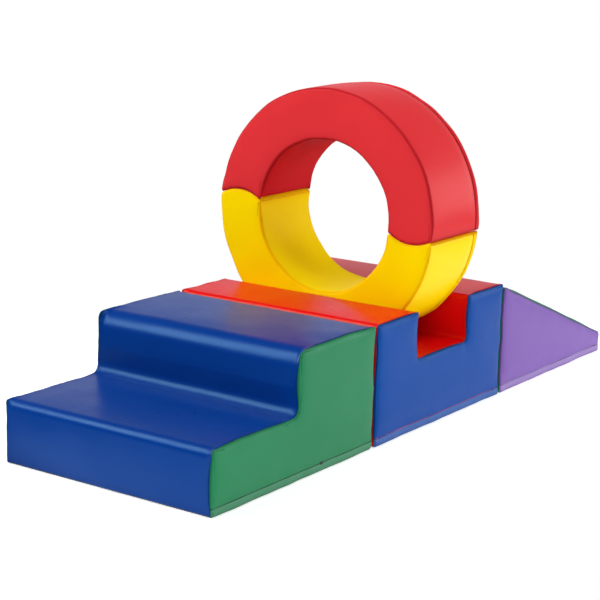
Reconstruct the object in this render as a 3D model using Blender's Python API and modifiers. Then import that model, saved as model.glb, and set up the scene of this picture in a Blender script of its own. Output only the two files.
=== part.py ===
"""A soft play foam climber: steps, a bridge block with a channel, a ramp and a ring that stands in it.

Metres, +Z up. +X runs from the steps to the ramp, and +Y to the far side. The origin is on the floor,
under the middle of the row. Each module is a foam core in a cover of sewn vinyl panels with a zip.
"""

from math import asin, atan2, copysign, cos, pi, radians, sin, tan

import bpy
from mathutils import Matrix, Vector

# Modules
block_width = 0.610
step_run = 0.323
step_rise = 0.1555
bridge_length = 0.636
bridge_height = 0.311
channel_width = 0.250
channel_depth = 0.122
ramp_length = 0.628
ramp_height = 0.302
toe_height = 0.057
module_gap = 0.007

# Ring
ring_radius = 0.328
bore_radius = 0.200
ring_thickness = 0.245
joint_tilt = radians(4.5)
joint_rise = 0.020

# Rounded corners of the modules' outlines
foot_round = 0.016
nose_round = 0.018
top_nose_round = 0.032
back_round = 0.020
tread_fillet = 0.018
bridge_edge_round = 0.014
channel_lip_round = 0.012
channel_fillet = 0.013
ridge_round = 0.014
toe_round = 0.020
least_round = 0.0005

# Covers
vinyl = 0.0015
seam_roll = 0.010
crown = 0.002
crown_reach = 0.060
crown_inset = 0.036
fit_gap = 0.0003

# Zips
zip_height = 0.020
ring_zip_inset = 0.018
chain_width = 0.0045
tape_width = 0.010
tape_thickness = 0.0008
slider_length = 0.011
slider_width = 0.008
slider_plate = 0.0015
slider_nose = 0.003
lug_length = 0.005
lug_width = 0.0024
lug_height = 0.0016
slider_bevel = 0.0004
steps_slider_place = 0.424
end_slider_inset = 0.030

# Hook and loop strips between the modules
strip_width = 0.050
strip_length = 0.380
strip_height = 0.170

# Fineness
arc_steps = 4
fine_round = 0.015
roll_steps = 2
ring_steps = 36
joint_steps = 8
seam_share = 0.04
merge_distance = 0.00003
cutter_overrun = 0.030

# Worked out from the sizes above
half_width = block_width / 2
row_length = 2 * step_run + module_gap + bridge_length + module_gap + ramp_length
steps_start = -row_length / 2
bridge_start = steps_start + 2 * step_run + module_gap
ramp_start = bridge_start + bridge_length + module_gap
channel_front = (bridge_length - channel_width) / 2
channel_back = channel_front + channel_width
channel_floor = bridge_height - channel_depth
ring_height = channel_floor + fit_gap + ring_radius
half_ring = ring_thickness / 2
under_vinyl = vinyl + fit_gap
strip_thickness = (module_gap - 3 * fit_gap) / 2
end_gap = 2 * fit_gap
zip_slit = chain_width / 2 + fit_gap
facet_turn = 2 * pi / ring_steps
ring_zip_place = half_ring - ring_zip_inset
quarter_turn = pi / 2
about_axis = (quarter_turn, 0, quarter_turn)
sharp_angle = radians(50)
before_seam = 0.5 - seam_share
after_seam = 0.5 + seam_share

STEPS = [(0, 0, foot_round), (0, step_rise, nose_round), (step_run, step_rise, tread_fillet),
         (step_run, 2 * step_rise, top_nose_round), (2 * step_run, 2 * step_rise, back_round),
         (2 * step_run, 0, foot_round)]
BRIDGE = [(0, 0, foot_round), (0, bridge_height, bridge_edge_round),
          (channel_front, bridge_height, channel_lip_round), (channel_front, channel_floor, channel_fillet),
          (channel_back, channel_floor, channel_fillet), (channel_back, bridge_height, channel_lip_round),
          (bridge_length, bridge_height, bridge_edge_round), (bridge_length, 0, foot_round)]
RAMP = [(0, 0, foot_round), (0, ramp_height, ridge_round), (ramp_length, toe_height, toe_round),
        (ramp_length, 0, foot_round)]

for old in list(bpy.data.objects):
    bpy.data.objects.remove(old)

parts = bpy.data.collections.new("Soft play foam climber")
cutters = bpy.data.collections.new("Cutters")
bpy.context.scene.collection.children.link(parts)
bpy.context.scene.collection.children.link(cutters)


# Materials

def linear(code):
    """A #rrggbb colour as the linear values that a shader takes."""
    shares = [int(code[place:place + 2], 16) / 255 for place in (1, 3, 5)]
    return [share / 12.92 if share <= 0.04045 else ((share + 0.055) / 1.055) ** 2.4 for share in shares]


def material(name, code, roughness, metallic=0.0):
    made = bpy.data.materials.new(name)
    made.use_nodes = True
    shader = made.node_tree.nodes["Principled BSDF"]
    shader.inputs["Base Color"].default_value = (*linear(code), 1)
    shader.inputs["Roughness"].default_value = roughness
    shader.inputs["Metallic"].default_value = metallic
    return made


navy = material("Royal blue vinyl", "#0a3d8c", 0.35)
green = material("Green vinyl", "#3a8b5e", 0.35)
scarlet = material("Red vinyl", "#cf1f1c", 0.35)
blue = material("Blue vinyl", "#2d5aa8", 0.35)
lilac = material("Purple vinyl", "#8f6fbc", 0.35)
yellow = material("Yellow vinyl", "#f6cf06", 0.35)
foam = material("Foam", "#e9e2c8", 0.95)
anti_slip = material("Black anti-slip fabric", "#16171a", 0.9)
zip_tape = material("Zip", "#24303a", 0.6)
slider_metal = material("Zip slider", "#1c1d20", 0.35, 1.0)
hook_loop = material("Hook and loop", "#101113", 1.0)


# Making and cutting objects

def empty(name, place, turn=(0, 0, 0), parent=None):
    """A frame that pieces hang from."""
    made = bpy.data.objects.new(name, None)
    made.location = place
    made.rotation_euler = turn
    made.parent = parent
    parts.objects.link(made)
    return made


def file_away(made, finish, parent):
    """Put a piece with the parts, or a cutter, which has no finish, with the cutters."""
    made.parent = parent
    if finish:
        made.data.materials.append(finish)
        parts.objects.link(made)
    else:
        made.hide_render = True
        made.display_type = "WIRE"
        cutters.objects.link(made)
    return made


def piece(name, points, faces, finish, parent, edges=()):
    """An object from its points and faces, smooth but for its edges."""
    mesh = bpy.data.meshes.new(name)
    mesh.from_pydata([tuple(point) for point in points], edges, faces)
    mesh.shade_smooth()
    mesh.set_sharp_from_angle(angle=sharp_angle)
    return file_away(bpy.data.objects.new(name, mesh), finish, parent)


def thicken(target, thickness, side):
    """Solidify an open surface: side -1 grows it inwards and 0 to both sides."""
    shell = target.modifiers.new("Thickness", "SOLIDIFY")
    shell.thickness = thickness
    shell.offset = side
    shell.use_even_offset = True
    return target


def cut(target, cutter, operation="DIFFERENCE"):
    step = target.modifiers.new(cutter.name, "BOOLEAN")
    step.operation = operation
    step.solver = "EXACT"
    step.object = cutter


def plate(name, outline, thickness, finish, parent):
    """A flat outline in local X and Y, grown to both sides of local Z."""
    points = [(x, y, 0) for x, y in outline]
    return thicken(piece(name, points, [range(len(points))], finish, parent), thickness, 0)


def box(name, low, high, finish, parent):
    """A box between two corners, in its parent's frame."""
    bpy.ops.mesh.primitive_cube_add(size=1)
    made = bpy.context.object
    for collection in list(made.users_collection):
        collection.objects.unlink(made)
    made.name = made.data.name = name
    size = Vector(high) - Vector(low)
    centre = (Vector(high) + Vector(low)) / 2
    made.data.transform(Matrix.Translation(centre) @ Matrix.Diagonal((*size, 1)))
    return file_away(made, finish, parent)


def rows_of_quads(rows, columns, closed=False):
    """Faces between neighbouring rows of points, wound the way the rows advance."""
    faces = []
    for row in range(rows - 1):
        for column in range(columns if closed else columns - 1):
            after = (column + 1) % columns
            faces.append((row * columns + column, row * columns + after,
                          (row + 1) * columns + after, (row + 1) * columns + column))
    return faces


def loft(name, sections, finish, parent):
    """A closed form through closed sections that all have as many points, capped at both ends."""
    count = len(sections[0])
    faces = rows_of_quads(len(sections), count, closed=True)
    faces.append(range(count)[::-1])
    faces.append(range((len(sections) - 1) * count, len(sections) * count))
    return piece(name, [point for section in sections for point in section], faces, finish, parent)


# Outlines with rounded corners

def corner_arc(corners, index, inset, first=0.0, last=1.0):
    """The arc that rounds one corner of an outline moved in by inset, from a first to a last share of it."""
    before, here, after = (Vector(corners[(index + step) % len(corners)][:2]) for step in (-1, 0, 1))
    arriving = (here - before).normalized()
    leaving = (after - here).normalized()
    turn = atan2(arriving.x * leaving.y - arriving.y * leaving.x, arriving.dot(leaving))
    inward = [Vector((way.y, -way.x)) for way in (arriving, leaving)]
    corner = here + (inward[0] + inward[1]) * inset / (1 + inward[0].dot(inward[1]))
    radius = max(corners[index][2] + copysign(inset, turn), least_round)
    start = corner - arriving * radius * tan(abs(turn) / 2)
    centre = start - inward[0] * copysign(radius, turn)
    whole = arc_steps if corners[index][2] > fine_round else arc_steps / 2
    steps = max(1, round(whole * (last - first)))
    shares = [first + (last - first) * step / steps for step in range(steps + 1)]
    return [centre + Matrix.Rotation(turn * share, 2) @ (start - centre) for share in shares]


def whole_line(corners, inset):
    """The closed outline."""
    return [point for index in range(len(corners)) for point in corner_arc(corners, index, inset)]


def wrap_line(corners, inset):
    """The outline from the front foot over the top to the rear foot, stopping short of the base's seams."""
    last = len(corners) - 1
    line = corner_arc(corners, 0, inset, after_seam, 1)
    for index in range(1, last):
        line += corner_arc(corners, index, inset)
    return line + corner_arc(corners, last, inset, 0, before_seam)


def base_line(corners, inset):
    """The outline along the floor, between the base's seams."""
    rear_foot = corner_arc(corners, len(corners) - 1, inset, after_seam, 1)
    return rear_foot + corner_arc(corners, 0, inset, 0, before_seam)


def rolled(share, skin):
    """How far a layer skin deep lies inside two faces that meet at a rolled edge.

    The share runs from 0, on the first face, to 1, on the second, a quarter turn on.
    """
    radius = seam_roll - skin
    turn = share * quarter_turn
    return skin + radius * (1 - cos(turn)), skin + radius * (1 - sin(turn))


def edge_path(skin, first, last):
    """Points along a rolled edge, from a first to a last share of it."""
    shares = [first + (last - first) * step / roll_steps for step in range(roll_steps + 1)]
    return [rolled(share, skin) for share in shares]


# Block modules

def across(skin, first):
    """Stations across a block, near to far: how far the outline is drawn in there, and the place along Y."""
    edge = [(crown + inset, side) for inset, side in edge_path(skin, first, 0)]
    edge.append((skin, crown_reach))
    near = [(inset, side - half_width) for inset, side in edge]
    return near + [(inset, -place) for inset, place in reversed(near)]


def sheet(name, corners, line_of, finish, parent):
    """A cover panel that follows an outline and is drawn in at both side seams."""
    stations = across(0, before_seam)
    lines = [line_of(corners, inset) for inset, _ in stations]
    points = [(x, place, z) for line, (_, place) in zip(lines, stations) for x, z in line]
    faces = rows_of_quads(len(stations), len(lines[0]))
    return thicken(piece(name, points, faces, finish, parent), vinyl, -1)


def side_panel(name, corners, far, finish, parent):
    """A flat side with its rim rolled over to the seam."""
    stations = edge_path(0, after_seam, 1)
    lines = [whole_line(corners, crown + inset) for inset, _ in stations]
    count = len(lines[0])
    way = 1 if far else -1
    points = [(x, way * (half_width - side), z) for line, (_, side) in zip(lines, stations) for x, z in line]
    faces = rows_of_quads(len(stations), count, closed=True)
    faces.append(range((len(stations) - 1) * count, len(stations) * count))
    if not far:
        faces = [face[::-1] for face in faces]
    return thicken(piece(name, points, faces, finish, parent), vinyl, -1)


def zip_path(length, first):
    """Places and outward directions along the foot of the near side, round its rolled ends."""
    ends = []
    for step in range(roll_steps + 1):
        share = first + (1 - first) * step / roll_steps
        inset, side = rolled(share, 0)
        turn = share * quarter_turn
        ends.append((crown + inset, side - half_width, -cos(turn), -sin(turn)))
    return ends + [(length - x, y, -out_x, out_y) for x, y, out_x, out_y in reversed(ends)]


def zip_band(name, length, section, first, finish, parent):
    """A section of (outwards, upwards) points carried along the foot of the near side."""
    sections = []
    for x, y, out_x, out_y in zip_path(length, first):
        sections.append([(x + out * out_x, y + out * out_y, zip_height + up) for out, up in section[::-1]])
    return loft(name, sections, finish, parent)


def tape_and_chain():
    """The zip's section: the tape under the vinyl and the chain between its edges."""
    tape_low = -under_vinyl - tape_thickness
    return [(tape_low, -tape_width / 2), (-under_vinyl, -tape_width / 2), (-under_vinyl, -chain_width / 2),
            (0, -chain_width / 2), (0, chain_width / 2), (-under_vinyl, chain_width / 2),
            (-under_vinyl, tape_width / 2), (tape_low, tape_width / 2)]


def recess():
    """The section that the tape presses into the foam."""
    low = -under_vinyl - tape_thickness - fit_gap
    up = tape_width / 2 + fit_gap
    return [(low, -up), (cutter_overrun, -up), (cutter_overrun, up), (low, up)]


def slider(name, frame):
    """A zip slider on the vinyl: a nosed plate with a lug, local X along the chain and Z outwards."""
    x = slider_length / 2
    y = slider_width / 2
    nose = x - slider_nose
    outline = [(-x, -y + slider_bevel), (-nose, -y), (nose, -y), (x, -lug_width / 2), (x, lug_width / 2),
               (nose, y), (-nose, y), (-x, y - slider_bevel)]
    made = plate(name, outline, slider_plate, slider_metal, frame)
    lug = box(name + "_lug", (-lug_length / 2, -lug_width / 2, 0),
              (lug_length / 2, lug_width / 2, slider_plate / 2 + lug_height), None, frame)
    cut(made, lug, "UNION")
    return made


def strip(name, x, back, parent):
    """A hook or loop strip across a joining face at x, on its back or its front."""
    near, far = sorted((x + back * fit_gap, x + back * (fit_gap + strip_thickness)))
    return box(name, (near, -strip_length / 2, strip_height - strip_width / 2),
               (far, strip_length / 2, strip_height + strip_width / 2), hook_loop, parent)


def block(name, start, corners, wrap_finish, side_finish, slider_place):
    """One module: foam core, wrap, two sides, base and zip. Returns its frame."""
    length = corners[-1][0]
    frame = empty(name, (start, 0, 0))

    stations = across(under_vinyl, 1)
    core = loft(name + "_foam_core", [[(x, place, z) for x, z in whole_line(corners, inset)]
                                      for inset, place in stations], foam, frame)
    cut(core, zip_band(name + "_zip_recess", length, recess(), before_seam, None, frame))

    sheet(name + "_wrap_panel", corners, wrap_line, wrap_finish, frame)
    sheet(name + "_base_panel", corners, base_line, anti_slip, frame)
    side_panel(name + "_far_side_panel", corners, True, side_finish, frame)

    top = max(z for _, z, _ in corners) + cutter_overrun
    low = (-cutter_overrun, -half_width - cutter_overrun)
    high = (length + cutter_overrun, seam_roll - half_width)
    below = box(name + "_below_zip", (*low, -cutter_overrun), (*high, zip_height + zip_slit), None, frame)
    above = box(name + "_above_zip", (*low, zip_height - zip_slit), (*high, top), None, frame)
    cut(side_panel(name + "_near_side_panel", corners, False, side_finish, frame), below)
    cut(side_panel(name + "_zip_flap", corners, False, side_finish, frame), above)
    zip_band(name + "_zip", length, tape_and_chain(), after_seam, zip_tape, frame)

    rides = empty(name + "_zip_run", (slider_place, -half_width - fit_gap - slider_plate / 2, zip_height),
                  (quarter_turn, 0, 0), frame)
    slider(name + "_zip_slider", rides)
    return frame


# Ring

def ring_edge(skin, first, last, on_bore=False, on_back=False):
    """Section points, each a radius and a place along the axis, round one rolled edge of the ring."""
    made = []
    for inset, side in edge_path(skin, first, last):
        radius = bore_radius + inset if on_bore else ring_radius - inset
        along = half_ring - crown - side
        made.append((radius, along if on_back else -along))
    return made


def crown_points(skin, on_back):
    """The two points that carry a ring face's crown, from the rim to the bore."""
    along = half_ring - skin if on_back else skin - half_ring
    middle = (ring_radius + bore_radius) / 2
    reach = (ring_radius - bore_radius) / 2 - crown_inset
    return [(middle + reach, along), (middle - reach, along)]


def rim_line(skin):
    """The rim's layer from the front seam to the zip."""
    return ring_edge(skin, before_seam, 0) + [(ring_radius - skin, ring_zip_place - zip_slit)]


def flap_line(skin):
    """The rim's layer from the zip to the back seam."""
    return [(ring_radius - skin, ring_zip_place + zip_slit)] + ring_edge(skin, 0, before_seam, on_back=True)


def bore_line(skin):
    """The bore's layer, from seam to seam."""
    front = ring_edge(skin, before_seam, 0, on_bore=True)
    return front + ring_edge(skin, 0, before_seam, on_bore=True, on_back=True)


def face_line(skin, on_back):
    """A ring face's layer: rolled over at the rim and the bore, and crowned between."""
    rim = ring_edge(skin, after_seam, 1, on_back=on_back)
    bore = ring_edge(skin, 1, after_seam, on_bore=True, on_back=on_back)
    return rim + crown_points(skin, on_back) + bore


def shell_section(line_of, *choice):
    """A cover's section: its outer line and back along its inner one."""
    return line_of(0, *choice) + line_of(vinyl, *choice)[::-1]


def zip_section():
    """The zip's section on the rim, with its tape under the vinyl."""
    return [(ring_radius + out, ring_zip_place + along) for out, along in tape_and_chain()]


def core_section():
    """What the covers enclose, with the groove that the zip presses into its rim."""
    skin = under_vinyl
    rim = ring_edge(skin, 1, 0) + zip_groove() + ring_edge(skin, 0, 1, on_back=True)
    bore = ring_edge(skin, 1, 0, on_bore=True, on_back=True) + ring_edge(skin, 0, 1, on_bore=True)
    return rim + crown_points(skin, True) + bore + crown_points(skin, False)[::-1]


def zip_groove():
    """The groove that the zip's tape presses into the foam."""
    top = ring_radius - under_vinyl
    bottom = top - tape_thickness - fit_gap
    reach = tape_width / 2 + fit_gap
    return [(top, ring_zip_place - reach), (bottom, ring_zip_place - reach),
            (bottom, ring_zip_place + reach), (top, ring_zip_place + reach)]


def turned(name, section, turn, finish, parent):
    """A closed (radius, along) section turned about the ring's axis, which is local Z."""
    area = sum(a[0] * b[1] - b[0] * a[1] for a, b in zip(section, section[1:] + section[:1]))
    if area > 0:
        section = section[::-1]
    edges = [(place, (place + 1) % len(section)) for place in range(len(section))]
    made = piece(name, [(radius, 0, along) for radius, along in section], [], finish, parent, edges)
    made.rotation_euler.z = -turn
    screw = made.modifiers.new("Turn", "SCREW")
    screw.axis = "Z"
    screw.angle = 2 * pi
    screw.steps = screw.render_steps = ring_steps
    screw.use_merge_vertices = True
    screw.merge_threshold = merge_distance
    screw.use_smooth_shade = True
    return made


def joint_arc(lift):
    """The bump where the halves meet on the local +X side: a low arc between the bore and the rim."""
    half_chord = (ring_radius - bore_radius) / 2
    radius = (half_chord ** 2 + joint_rise ** 2) / (2 * joint_rise)
    reach = asin(half_chord / radius)
    turns = [reach * (2 * step / joint_steps - 1) for step in range(joint_steps + 1)]
    middle = bore_radius + half_chord
    return [(middle + radius * sin(turn), joint_rise - radius + radius * cos(turn) + lift) for turn in turns]


def joint_hollow(lift):
    """The same arc on the local -X side, where it hangs down, from the rim to the bore."""
    return [(-x, 2 * lift - y) for x, y in joint_arc(lift)[::-1]]


def region_above(lift):
    """All that lies above the joint, lifted by a clearance."""
    far = ring_radius + cutter_overrun
    return ([(-far, lift)] + joint_hollow(lift) + joint_arc(lift) + [(far, lift), (far, far), (-far, far)])


def ring_half(name, turn, finish, ends, slider_turn, axis):
    """One half of the ring, in a frame turned about the ring's axis. Returns the frame."""
    frame = empty(name, (0, 0, 0), (0, 0, turn), axis)
    wide = ring_thickness + 2 * cutter_overrun
    lift = fit_gap / 2
    keep = plate(name + "_half", region_above(lift), wide, None, frame)
    keep_core = plate(name + "_core_half", region_above(lift + vinyl + end_gap), wide, None, frame)
    inside = turned(name + "_inside", core_section(), turn, None, frame)

    sections = {"rim_panel": shell_section(rim_line), "rim_flap": shell_section(flap_line),
                "bore_panel": shell_section(bore_line),
                "front_panel": shell_section(face_line, False), "rear_panel": shell_section(face_line, True)}
    for part, section in sections.items():
        cut(turned(f"{name}_{part}", section, turn, finish, frame), keep, "INTERSECT")
    cut(turned(name + "_zip", zip_section(), turn, zip_tape, frame), keep, "INTERSECT")
    cut(turned(name + "_foam_core", core_section(), turn, foam, frame), keep_core, "INTERSECT")

    for end, line_of in zip(ends, (joint_arc, joint_hollow)):
        band = line_of(lift) + line_of(lift + vinyl)[::-1]
        cut(plate(f"{name}_{end}_end_panel", band, ring_thickness, finish, frame), inside, "INTERSECT")

    zip_turn = empty(name + "_zip_turn", (0, 0, 0), (0, 0, slider_turn - turn), frame)
    out = ring_radius + fit_gap + slider_plate / 2
    slider(name + "_zip_slider", empty(name + "_zip_seat", (out, 0, ring_zip_place), about_axis, zip_turn))
    return frame


# The whole climber

steps_frame = block("steps", steps_start, STEPS, navy, green, steps_slider_place)
strip("steps_hook_strip", 2 * step_run, 1, steps_frame)

bridge_frame = block("bridge", bridge_start, BRIDGE, scarlet, blue, bridge_length - end_slider_inset)
strip("bridge_front_loop_strip", 0, -1, bridge_frame)
strip("bridge_rear_loop_strip", bridge_length, 1, bridge_frame)

ramp_frame = block("ramp", ramp_start, RAMP, green, lilac, ramp_length - end_slider_inset)
strip("ramp_hook_strip", 0, -1, ramp_frame)

ring_axis = empty("ring_axis", (bridge_start + bridge_length / 2, 0, ring_height), about_axis)
ring_half("arch", joint_tilt, scarlet, ("far", "near"), 2 * facet_turn, ring_axis)
ring_half("cradle", joint_tilt + pi, yellow, ("near", "far"), -facet_turn, ring_axis)
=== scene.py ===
"""The soft play foam climber's looks: sewn vinyl covers, foam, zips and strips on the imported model.

Metres. +X runs from the steps to the ramp, +Y to the far side. Every cover is a sheet over an outline:
a module's outline lies in X and Z and is carried across in Y, and a ring half's lies in Y and Z and is
carried along X.
"""

from dataclasses import dataclass
from math import atan2, copysign, cos, pi, radians, sin, sqrt, tan

import bmesh
import bpy
import numpy as np
from mathutils import Matrix, Vector
from mathutils.geometry import delaunay_2d_cdt
from numpy.linalg import norm


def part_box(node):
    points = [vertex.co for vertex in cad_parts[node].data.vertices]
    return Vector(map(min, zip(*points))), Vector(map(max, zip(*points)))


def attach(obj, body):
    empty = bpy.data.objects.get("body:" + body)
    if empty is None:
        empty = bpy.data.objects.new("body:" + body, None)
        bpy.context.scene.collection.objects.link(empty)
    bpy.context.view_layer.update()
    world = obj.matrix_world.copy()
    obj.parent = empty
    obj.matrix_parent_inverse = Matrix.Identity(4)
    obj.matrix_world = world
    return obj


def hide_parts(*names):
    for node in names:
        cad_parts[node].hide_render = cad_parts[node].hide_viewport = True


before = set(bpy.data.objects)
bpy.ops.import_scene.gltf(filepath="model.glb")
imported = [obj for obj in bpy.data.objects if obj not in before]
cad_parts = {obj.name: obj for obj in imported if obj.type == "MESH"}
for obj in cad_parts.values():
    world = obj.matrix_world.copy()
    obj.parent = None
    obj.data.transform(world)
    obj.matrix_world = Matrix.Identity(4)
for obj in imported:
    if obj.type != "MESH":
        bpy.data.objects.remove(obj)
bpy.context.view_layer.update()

# Modules and ring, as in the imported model
HALF_WIDTH = 0.305
STEPS_START, BRIDGE_START, RAMP_START = -0.962, -0.309, 0.334
STEP_RUN, STEP_RISE = 0.323, 0.1555
BRIDGE_LENGTH, BRIDGE_HEIGHT = 0.636, 0.311
CHANNEL_FRONT, CHANNEL_BACK, CHANNEL_FLOOR = 0.193, 0.443, 0.189
RAMP_LENGTH, RAMP_HEIGHT, TOE_HEIGHT = 0.628, 0.302, 0.057
RING_X, RING_Z = 0.009, 0.5173
RING_RADIUS, BORE_RADIUS, HALF_RING = 0.328, 0.200, 0.1225
JOINT_TILT, JOINT_RISE = radians(4.5), 0.020
GAP = 0.0003

# Sewing: the vinyl, its rolled edges and turned-in lips, and how much less they roll in a corner or a joint
VINYL = 0.0009
ROLL = 0.009
WRAP_TURN, FACE_TURN = radians(28), radians(62)
LIP = 0.0009
LIP_DEPTH, HEM_DEPTH = 0.0020, 0.0008
CORNER_EASE, PRESSED_EASE, EASE_REACH = 0.42, 0.28, 0.045
SEAM_ROUND, FOAM_ROUND = 0.0056, 0.026
SEAM_REACH = 0.018
# How far a seam's thin dark line reaches, and how far its broad band of painted shade reaches
SEAM_LINE_REACH, SEAM_SHADE_REACH = 0.0012, 0.008

# How far a seam strays inwards and across in long waves, and its short puckers, and how soon they fade
STRAY_IN, STRAY_ACROSS, PUCKER = 0.0007, 0.0009, 0.0002
STRAY_LENGTHS, PUCKER_LENGTHS = (0.30, 0.07), (0.030, 0.011)
STRAY_FADE, PUCKER_FADE = 0.025, 0.007
DENT, DENT_LENGTHS, DENT_FADE = 0.0004, (0.35, 0.10), 0.03

# Faces: how far a side lies inside its width, its puff beside the seam and its bulge, and what they reach
MODULE_FACE, RING_FACE = (-0.0012, 0.0028, 0.0020), (0.002, 0.0014, 0.0008)
PUFF_REACH, BULGE_REACH = 0.009, 0.08
RING_SWELL, RING_BULGE, RING_BULGE_REACH, RING_SEAM_LOFT = 0.0022, 0.0040, 0.05, 0.45
FLOOR_SHARE = 0.22
SUNK, SUNK_FLAT, SUNK_REACH, SUNK_FADE = 0.0075, 0.004, 0.014, 0.02

# Zips: their place, the half width of the slit, and the fades of the pull and of the darkening beside it
ZIP_HEIGHT, ZIP_HALF = 0.020, 0.0009
ZIP_RISE, FLAP_RISE, FLAP_PUFF, FLAP_REACH = 0.05, 0.014, 0.0022, 0.003
RING_ZIP_PLACE, RING_ZIP_HALF = HALF_RING - 0.018, 0.0020
PULL_FADE, HEM_FADE = 0.007, 0.002
TOOTH_PITCH = 0.0008

# Meshes: the widest step, the first one beside a seam, a lattice's pitch, and where it is finer
PITCH, SEAM_PITCH = 0.009, 0.0025
FACE_PITCH, FINE_REACH, FOAM_PITCH = 0.012, 0.016, 0.025
FOAM_INSET, FOAM_EDGE, FOAM_ROUGH = 0.0031, 0.012, 0.0006


def smooth(value, low, high):
    """0 below low and 1 above high, with 3x² - 2x³ between."""
    share = np.clip((np.asarray(value, float) - low) / (high - low), 0, 1)
    return share * share * (3 - 2 * share)


def unit(vectors):
    return vectors / norm(vectors, axis=-1, keepdims=True)


ARC_POINTS = 9
ARC = np.linspace(0, 1, ARC_POINTS)
ARC_EASE = smooth(ARC, 0, 1)


def swell(first, second, longest, shortest, seed, waves=12):
    """A smooth random surface, about ±1: a sum of sines between two lengths, each in a random direction."""
    rng = np.random.default_rng(seed)
    lengths = np.geomspace(longest, shortest, waves)
    sizes = lengths ** 0.5
    ways, phases = rng.uniform(0, pi, waves), rng.uniform(0, 2 * pi, waves)
    total = sum(size * np.sin(2 * pi * (first * cos(way) + second * sin(way)) / length + phase)
                for size, length, way, phase in zip(sizes, lengths, ways, phases))
    return total / np.sqrt((sizes ** 2).sum())


def loop_ripple(place, total, longest, shortest, seed, waves=9):
    """A smooth random line that closes on itself: a sum of sines that each fit the loop in whole numbers."""
    rng = np.random.default_rng(seed)
    counts = np.unique(np.round(np.geomspace(total / longest, total / shortest, waves)))
    sizes = counts ** -0.5
    line = sum(size * np.sin(2 * pi * count * place / total + phase)
               for size, count, phase in zip(sizes, counts, rng.uniform(0, 2 * pi, len(counts))))
    return line / np.sqrt((sizes ** 2).sum())


def fading(way):
    """How much is left of a seam's long waves, and of its puckers, at a distance from it."""
    return np.exp(-way / STRAY_FADE), np.exp(-way / PUCKER_FADE)


def seam_line_and_shade_at(way):
    """How dark a cover is painted at a distance from its seam: a thin dark line, and a soft band of painted
    shade beside it.
    """
    return 0.7 * np.exp(-way / SEAM_LINE_REACH) + 0.3 * np.exp(-way / SEAM_SHADE_REACH)


# Outlines

class Outline:
    """Points along a closed outline, with unit directions into the foam, the run and the way to a corner.

    The arcs are the places of the corners' middle points. Where it's pressed, 1, a neighbour keeps it flat.
    Ease is the size of the seam's roll, 1 on the straights and less in the corners and where it's pressed.
    """

    def __init__(self, points, inward, corner, pressed, arcs):
        self.arcs = arcs
        self.points, self.inward = np.array(points, float), unit(np.array(inward, float))
        self.corner, self.pressed = np.array(corner), np.array(pressed)
        steps = norm(np.diff(self.points, axis=0, append=self.points[:1]), axis=1)
        self.run = np.r_[0, np.cumsum(steps)[:-1]]
        self.length = steps.sum()
        ease = CORNER_EASE + (1 - CORNER_EASE) * smooth(self.corner, 0, EASE_REACH)
        self.ease = ease * (1 - self.pressed) + PRESSED_EASE * self.pressed

    def between(self, values, columns, end=None):
        """What holds for each point, read at places counted along the outline."""
        count = len(self.points)
        end = values[0] if end is None else end
        return np.interp(columns % count, np.arange(count + 1), np.append(values, end))


def block_outline(corners, rounds, stops=()):
    """A module's outline: an arc at each corner and even steps on the straights.

    Its points run clockwise from the front foot. The stops are heights that the uprights also pass.
    """
    corners, count = [Vector(corner) for corner in corners], len(corners)
    arcs, points, middles = [], [], []
    for index, radius in enumerate(rounds):
        before, here, after = corners[index - 1], corners[index], corners[(index + 1) % count]
        arriving, leaving = (here - before).normalized(), (after - here).normalized()
        turn = atan2(arriving.x * leaving.y - arriving.y * leaving.x, arriving.dot(leaving))
        start = here - arriving * radius * tan(abs(turn) / 2)
        right = Vector((arriving.y, -arriving.x))
        centre = start + right * copysign(radius, -turn)
        spins = [Matrix.Rotation(turn * share, 2) for share in ARC]
        arcs.append([(centre + spin @ (start - centre), spin @ right) for spin in spins])
    for index, arc in enumerate(arcs):
        middles.append(len(points) + ARC_POINTS // 2)
        pressed = {0: 1 - ARC_EASE, count - 1: ARC_EASE}.get(index, 0 * ARC_EASE)
        points += [(place, way, 0.0, press) for (place, way), press in zip(arc, pressed)]
        start, way = arc[-1]
        end = arcs[(index + 1) % count][0][0]
        whole = (corners[(index + 1) % count] - corners[index]).length
        shares = np.linspace(0, 1, max(4, round(whole / PITCH)) + 1)[1:-1]
        low, high = sorted((start.y, end.y))
        if abs(end.x - start.x) < 1e-6 and stops and low < min(stops) and max(stops) < high:
            heights = start.y + (end.y - start.y) * shares
            near = np.abs(heights[:, None] - np.array(stops)).min(1) > PITCH / 3
            between = (heights < min(stops)) | (heights > max(stops))
            heights = np.r_[heights[near & between], stops]
            shares = np.sort((heights - start.y) / (end.y - start.y))
        length, last = (end - start).length, float(index == count - 1)
        points += [(start.lerp(end, share), way, min(share, 1 - share) * length, last) for share in shares]
    return Outline(*zip(*points), middles)


def crossing(first, first_reach, second, second_reach, near):
    """Where two circles cross, at the crossing nearer to a point."""
    apart = second - first
    distance = apart.length
    along = (distance ** 2 + first_reach ** 2 - second_reach ** 2) / (2 * distance)
    off = sqrt(first_reach ** 2 - along ** 2)
    middle = first + apart * along / distance
    side = Vector((-apart.y, apart.x)) / distance * off
    return min((middle + side, middle - side), key=lambda place: (place - near).length)


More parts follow.
